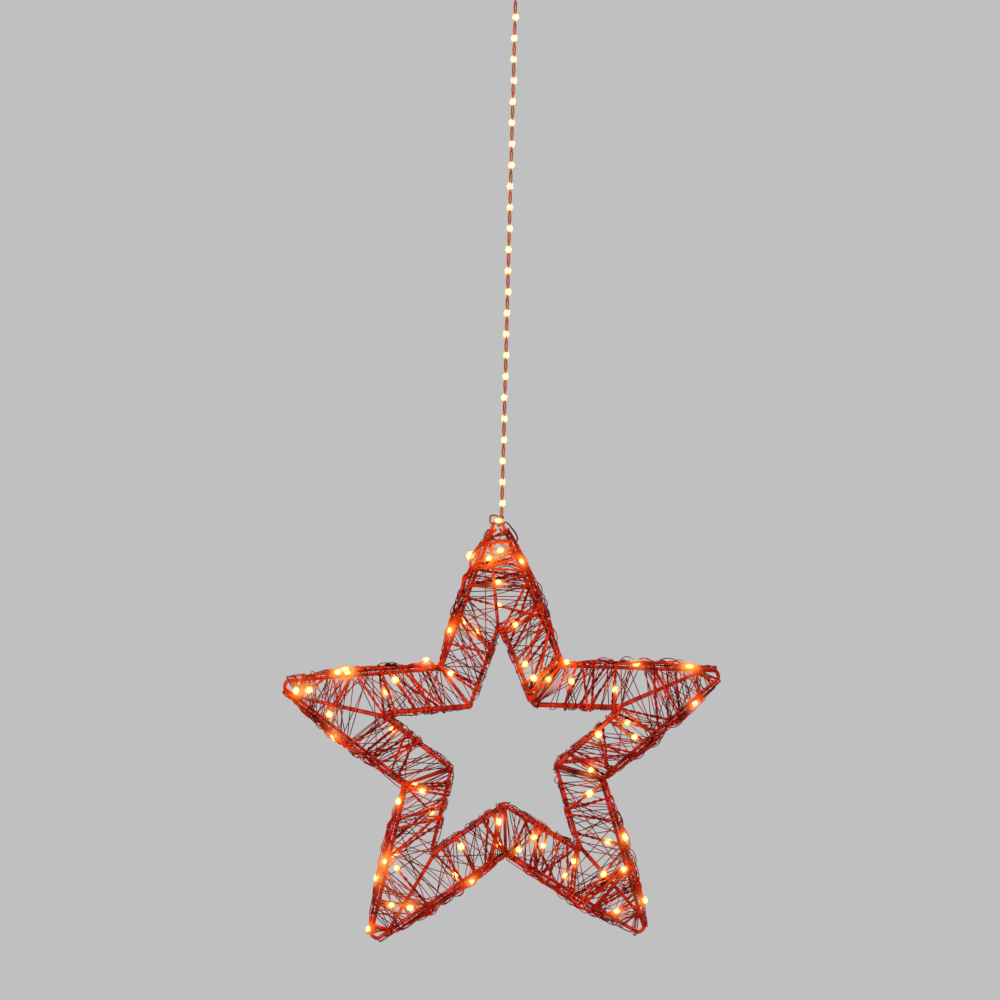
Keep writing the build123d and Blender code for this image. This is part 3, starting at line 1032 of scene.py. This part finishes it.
def add_led(leds, place, axis, length, radius, core_width=CORE_WIDTH):
    """The resin drop, and the LED in it."""
    for long, wide, material in ((1, 1, 0), (CORE_LENGTH, core_width, 1)):
        profile = [(share * length / 2 * long, bulge * radius * wide) for share, bulge in LED_PROFILE]
        leds.turned(place, axis, profile, LED_SIDES)
        leds.lamp_and_painted_glow += [bulge**2 for _, bulge in LED_PROFILE for _ in range(LED_SIDES)]
        leds.slots += [material] * (len(leds.faces) - len(leds.slots))


def cord_led_drops():
    leds = Mesh()
    for led, place in enumerate(cord_led_places()):
        turn = CORD_LED_LEAN_TURN * led
        lean = (CORD_LED_LEAN * cos(turn), CORD_LED_LEAN * sin(turn), 1)
        add_led(leds, place, lean, CORD_LED_LENGTH, CORD_LED_RADIUS, CORD_CORE_WIDTH)
    return leds.piece("cord_led_drops", [led_resin, led_core], "cord", "led", "cord_leds")


cord_path, cord_piece = cord_strands()
cord_drops = cord_led_drops()


# Rods: round bars bent at the corners
ROD_SIDES = 14
ROD_STEP = 0.012
BEND_STEP = 0.0012
OUTER_BENDS = [0.0032, 0.0032, 0.004]
INNER_BENDS = [0.0015, 0.0015, 0.004]


def outline_rod(name, apothem, flat, forward, bends):
    sharp = apothem / sin(HALF_POINT)
    blunt = sharp - flat / 2 / tan(HALF_POINT)
    valley = apothem / sin(HALF_POINT + HALF_FIFTH)
    corners = []
    for arm in range(POINTS):
        corners.append(arm_point(arm, blunt, -flat / 2, forward))
        corners.append(arm_point(arm, blunt, flat / 2, forward))
        corners.append(arm_point(arm, valley * cos(HALF_FIFTH), valley * sin(HALF_FIFTH), forward))
    outline = round_corners(corners, bends * POINTS, BEND_STEP)
    path = []
    for here, there in zip(outline, outline[1:] + outline[:1]):
        count = max(1, round((there - here).length / ROD_STEP))
        path += [here.lerp(there, k / count) for k in range(count)]
    rod = Mesh()
    rod.tube([tuple(p) for p in path], ROD_RADIUS, ROD_SIDES, closed=True, up=(0, 1, 0))
    return rod.piece(f"{name}_bent", [red_rod], "star", "red_rod", name)


outline_rod("outer_star_rod", OUTER_APOTHEM, POINT_FLAT, 0, OUTER_BENDS)
outline_rod("inner_star_rod_front", INNER_APOTHEM, INNER_POINT_FLAT, STAR_DEPTH / 2, INNER_BENDS)
outline_rod("inner_star_rod_back", INNER_APOTHEM, INNER_POINT_FLAT, -STAR_DEPTH / 2, INNER_BENDS)


STRUT_RINGS = 24
STRUT_SIDES = 12
WELD_SWELL = 0.55
WELD_START = 0.0015
WELD_LENGTH = 0.0025


def strut(name, start, end):
    """A straight rod whose coated welds flare out where it meets the outlines."""
    length = (end - start).length
    path, radii = [], []
    for k in range(STRUT_RINGS + 1):
        share = (1 - cos(pi * k / STRUT_RINGS)) / 2
        near = min(share, 1 - share) * length
        path.append(tuple(start.lerp(end, share)))
        flare = max(0, 1 - (near - WELD_START) / WELD_LENGTH)
        radii.append(STRUT_RADIUS * (1 + WELD_SWELL * flare**2))
    rod = Mesh()
    rod.tube(path, radii, STRUT_SIDES)
    rod.piece(f"{name}_welded", [red_rod], "star", "red_rod", name)


for arm in range(POINTS):
    for face, facing in (("front", 1), ("back", -1)):
        start, end = strut_line(arm, facing)
        strut(f"point_strut_{face}_{arm + 1}", arm_point(arm, *start), arm_point(arm, *end))
        start = (INNER_VALLEY * cos(HALF_FIFTH), INNER_VALLEY * sin(HALF_FIFTH), facing * STAR_DEPTH / 2)
        end = (VALLEY_REACH * cos(HALF_FIFTH), VALLEY_SIDE, 0)
        strut(f"valley_strut_{face}_{arm + 1}", arm_point(arm, *start), arm_point(arm, *end))


# The wrap wire, in several windings
def add_wires():
    rng = random.Random(11)
    wires = Mesh()
    for winding in range(WINDINGS):
        places = thin_winding(
            rng,
            turns=rng.choice((3, 4, 5)),
            tip_turns=rng.choice((9, 11, 13)),
            turning=rng.uniform(0.07, 0.1),
            face=1 if winding % 2 else -1,
        )
        wires.tube(smooth_path(places, WIRE_STEP), WIRE_RADIUS, WIRE_SIDES)
    wires.piece("wrap_wire_strands", [red_wire], "star", "red_wire", "wrap_wire")


add_wires()


# The string, a twisted pair, and its LEDs
def add_string():
    along, side, other = path_frames(string_line)
    steps = np.linalg.norm(np.diff(string_line, axis=0), axis=1)
    turns = 2 * pi * np.concatenate([[0], np.cumsum(steps)]) / STRING_TWIST
    pair = Mesh()
    for half in (0, pi):
        offset = side * np.cos(turns + half)[:, None] + other * np.sin(turns + half)[:, None]
        pair.tube(string_line + offset * STRING_RADIUS, STRING_RADIUS, STRING_SIDES)
    pair.piece("light_string_pair", [red_string], "star", "red_cord", "light_string")
    leds = Mesh()
    rng = random.Random(4)
    for place, way in star_leds:
        size = rng.uniform(*LED_SIZES)
        add_led(leds, place, way, LED_LENGTH * size, LED_RADIUS * size)
    leds.piece("star_led_drops", [led_resin, led_core], "star", "led", "star_leds")


add_string()


# The tie round the top point: turns of string, a knot, and its LED
TIE_RADIUS = 0.0006
TIE_SIDES = 8
TIE_STEP = 0.0005
TIE_RINGS = 60
TIE_LAYERS = ((3.3, 0.0042, 0.00035), (2.3, -0.0026, 0.00155))
KNOT_RISE = 0.0027
KNOT_WIDTH = 0.0006
KNOT_HEIGHT = 0.0014
KNOT_RINGS = 72
LOOSE_RADIUS = 0.0008
LOOSE_TURN = (
    (0.001, 0.0032, -0.0012), (-0.001, 0.0062, -0.0004), (-0.006, 0.0062, 0.001), (-0.0069, 0.0052, 0.0014),
    (-0.007, 0.0005, 0.002), (-0.006, -0.0006, 0.0028), (-0.0022, -0.0004, 0.0042), (0.0006, 0.0006, 0.0036),
)


def add_layers(tie, side, up):
    """Two layers of turns round the blunt end, the outer one wound back over the inner one."""
    for layer, (turns, width, gap) in enumerate(TIE_LAYERS):
        path = []
        ring = ROD_RADIUS + gap + TIE_RADIUS
        for k in range(TIE_RINGS + 1):
            angle = 2 * pi * turns * k / TIE_RINGS + layer * 2
            along = TIE_OFFSET + (k / TIE_RINGS - 0.5) * width
            path.append(tuple(CROWN + CROWN_LINE * along + (side * cos(angle) + up * sin(angle)) * ring))
        tie.tube(path, TIE_RADIUS, TIE_SIDES)


def add_knot(tie, knot):
    """A trefoil knot over the turns."""
    path = []
    for k in range(KNOT_RINGS):
        t = 2 * pi * k / KNOT_RINGS
        x, y, z = sin(t) + 2 * sin(2 * t), cos(t) - 2 * cos(2 * t), -sin(3 * t)
        path.append(tuple(knot + Vector((x * KNOT_WIDTH, y * KNOT_WIDTH, z * KNOT_HEIGHT))))
    tie.tube(path, TIE_RADIUS, TIE_SIDES, closed=True)


def add_strands(tie, side, knot):
    """The two strands from the turns up through the knot to the cord."""
    for way in (-1, 1):
        foot = CROWN + CROWN_LINE * (TIE_OFFSET + way * 0.0012) + side * way * (ROD_RADIUS + 0.001)
        path = [
            foot,
            foot + Vector((0, 0, 0.0018)),
            knot + Vector((way * 0.0004, way * 0.0009, -0.0012)),
            knot + Vector((way * 0.0005, way * 0.0003, 0.001)),
            knot + Vector((way * 0.0006, 0, 0.0027)),
        ]
        tie.tube(smooth_path(path, TIE_STEP), TIE_RADIUS * 0.95, TIE_SIDES)


def add_tie():
    tie = Mesh()
    side = Vector((0, 1, 0))
    up = CROWN_LINE.cross(side)
    knot = Vector((0, 0, CROWN.z + ROD_RADIUS + TIE_RADIUS + KNOT_RISE))
    add_layers(tie, side, up)
    add_knot(tie, knot)
    add_strands(tie, side, knot)
    line = [CROWN + CROWN_LINE * across + up * rise - side * front for across, rise, front in LOOSE_TURN]
    tie.tube(smooth_path(line, TIE_STEP), LOOSE_RADIUS, TIE_SIDES)
    tie.piece("tip_tie_turns", [red_cord], "tie", "red_cord", "tip_tie")
    led = Mesh()
    add_led(led, TIP_LED_PLACE, CROWN_LINE, LED_LENGTH, LED_RADIUS)
    led.piece("tip_led_drop", [led_resin, led_core], "tie", "led", "tip_led")


add_tie()


# The slack loop of string beside the top point, by its distances along the leg and into the band
LOOP_STEP = 0.0006
LOOP_ROUTE = (
    (0.012, 0.0), (0.0112, -0.0036), (0.0185, -0.0066), (0.0255, -0.008), (0.0302, -0.0072),
    (0.0308, -0.005), (0.0275, -0.0038), (0.022, -0.0034), (0.0195, 0.0),
)


def add_loop():
    line = [leg_point(0, -1, along, inward, 0) for along, inward in LOOP_ROUTE]
    loop = Mesh()
    loop.tube(smooth_path(line, LOOP_STEP), LOOSE_RADIUS, TIE_SIDES)
    loop.piece("tip_loop_strand", [red_cord], "star", "red_cord", "tip_loop")


add_loop()


# The hanging eye and its ferrule. A profile's pairs are distances along the axis and off it
EYE_RING = 0.00675
EYE_WIRE = 0.00175
EYE_RINGS = 48
EYE_SIDES = 16
SHANK_FOOT = -0.0125
SHANK_PROFILE = (
    (0, 0.0019), (0.0008, 0.0032), (0.0016, 0.0032),
    (0.0024, 0.0026), (0.004, 0.0021), (0.006, 0.002),
)
FERRULE_LENGTH = 0.01
FERRULE_RADIUS = 0.0027
FERRULE_LIP = 0.0024
GROOVES = 3
GROOVE_START = 0.0018
GROOVE_PITCH = 0.0026
GROOVE_RADIUS = 0.0023
TURNED_SIDES = 24


def add_eye():
    turns = [2 * pi * k / EYE_RINGS for k in range(EYE_RINGS)]
    path = [(EYE_RING * sin(turn), 0, EYE_RING * cos(turn)) for turn in turns]
    eye = Mesh()
    eye.tube(path, EYE_WIRE, EYE_SIDES, closed=True, up=(0, 1, 0))
    eye.turned((0, 0, SHANK_FOOT), (0, 0, 1), SHANK_PROFILE, TURNED_SIDES)
    eye.piece("hanging_eye_ring", [eye_metal], "eye", "eye", "hanging_eye")


def add_ferrule():
    profile = [(0, 0.0019), (0.0003, FERRULE_LIP), (0.0009, FERRULE_RADIUS)]
    for groove in range(GROOVES):
        start = GROOVE_START + groove * GROOVE_PITCH
        profile.append((start, FERRULE_RADIUS))
        profile.append((start + 0.0003, GROOVE_RADIUS))
        profile.append((start + 0.0011, GROOVE_RADIUS))
        profile.append((start + 0.0014, FERRULE_RADIUS))
    profile += [(FERRULE_LENGTH - 0.0006, FERRULE_RADIUS), (FERRULE_LENGTH, FERRULE_LIP)]
    ferrule = Mesh()
    ferrule.turned((0, 0, CORD_TOP), (0, 0, 1), profile, TURNED_SIDES)
    ferrule.piece("cord_ferrule_crimped", [ferrule_metal], "eye", "ferrule", "cord_ferrule")


add_eye()
add_ferrule()


# Floor, backdrop and light
FLOOR_HEIGHT = -1.35
FLOOR_RADIUS = 2.4
FLOOR_FADE_START = 0.5
FLOOR_SIDES = 72
FLOOR_GREY = 0.7


def floor_material(pale):
    """A plain pale floor that fades out towards its rim, so that no edge shows."""
    material, nodes, links, shader = new_material("floor")
    set_inputs(shader, {"Base Color": (pale, pale, pale, 1), "Roughness": 0.8})
    place = nodes.new("ShaderNodeTexCoord")
    reach = nodes.new("ShaderNodeVectorMath")
    reach.operation = "LENGTH"
    links.new(place.outputs["Object"], reach.inputs[0])
    fade = nodes.new("ShaderNodeMapRange")
    fade.interpolation_type = "SMOOTHSTEP"
    set_inputs(fade, {"From Min": FLOOR_FADE_START, "From Max": FLOOR_RADIUS, "To Min": 1, "To Max": 0})
    links.new(reach.outputs["Value"], fade.inputs["Value"])
    links.new(fade.outputs["Result"], shader.inputs["Alpha"])
    return material


def add_floor():
    mesh = bpy.data.meshes.new("floor")
    turns = [2 * pi * k / FLOOR_SIDES for k in range(FLOOR_SIDES)]
    rim = [(FLOOR_RADIUS * cos(turn), FLOOR_RADIUS * sin(turn), 0) for turn in turns]
    mesh.from_pydata(rim, [], [tuple(range(FLOOR_SIDES))])
    floor = add_object("floor", mesh)
    floor.location = (0, 0, FLOOR_HEIGHT)
    mesh.materials.append(floor_material(FLOOR_GREY))


add_floor()


def add_area(name, place, target, size, watts, colour):
    data = bpy.data.lights.new(name, "AREA")
    data.shape = "DISK"
    data.size = size
    data.energy = watts
    data.color = colour
    lamp = add_object(name, data)
    lamp.location = place
    lamp.rotation_euler = (Vector(target) - Vector(place)).to_track_quat("-Z", "Y").to_euler()


STAR_MIDDLE = (0.007, 0, -0.6)
add_area("key", (-1.2, -2.0, 0.5), STAR_MIDDLE, size=0.9, watts=75, colour=(1, 0.98, 0.95))
add_area("fill", (1.6, -1.6, -0.4), STAR_MIDDLE, size=1.4, watts=18, colour=(0.95, 0.97, 1))
add_area("rim", (0.8, 1.8, 0.4), STAR_MIDDLE, size=1.0, watts=25, colour=(1, 1, 1))


def add_world(grey, light):
    """A flat grey behind the star for the camera and reflections, and plain soft light otherwise."""
    world = bpy.data.worlds.new("studio")
    bpy.context.scene.world = world
    world.use_nodes = True
    nodes, links = world.node_tree.nodes, world.node_tree.links
    nodes.clear()
    path = nodes.new("ShaderNodeLightPath")
    seen = nodes.new("ShaderNodeMath")
    seen.operation = "MAXIMUM"
    links.new(path.outputs["Is Camera Ray"], seen.inputs[0])
    links.new(path.outputs["Is Glossy Ray"], seen.inputs[1])
    through = nodes.new("ShaderNodeMath")
    through.operation = "MAXIMUM"
    links.new(seen.outputs[0], through.inputs[0])
    links.new(path.outputs["Is Transmission Ray"], through.inputs[1])
    plain = nodes.new("ShaderNodeBackground")
    set_inputs(plain, {"Color": (light, light, light, 1)})
    behind = nodes.new("ShaderNodeBackground")
    set_inputs(behind, {"Color": (grey, grey, grey, 1)})
    pick = nodes.new("ShaderNodeMixShader")
    out = nodes.new("ShaderNodeOutputWorld")
    links.new(through.outputs[0], pick.inputs["Fac"])
    links.new(plain.outputs[0], pick.inputs[1])
    links.new(behind.outputs[0], pick.inputs[2])
    links.new(pick.outputs[0], out.inputs["Surface"])


add_world(grey=0.527, light=0.16)
bpy.context.scene.view_settings.view_transform = "Standard"
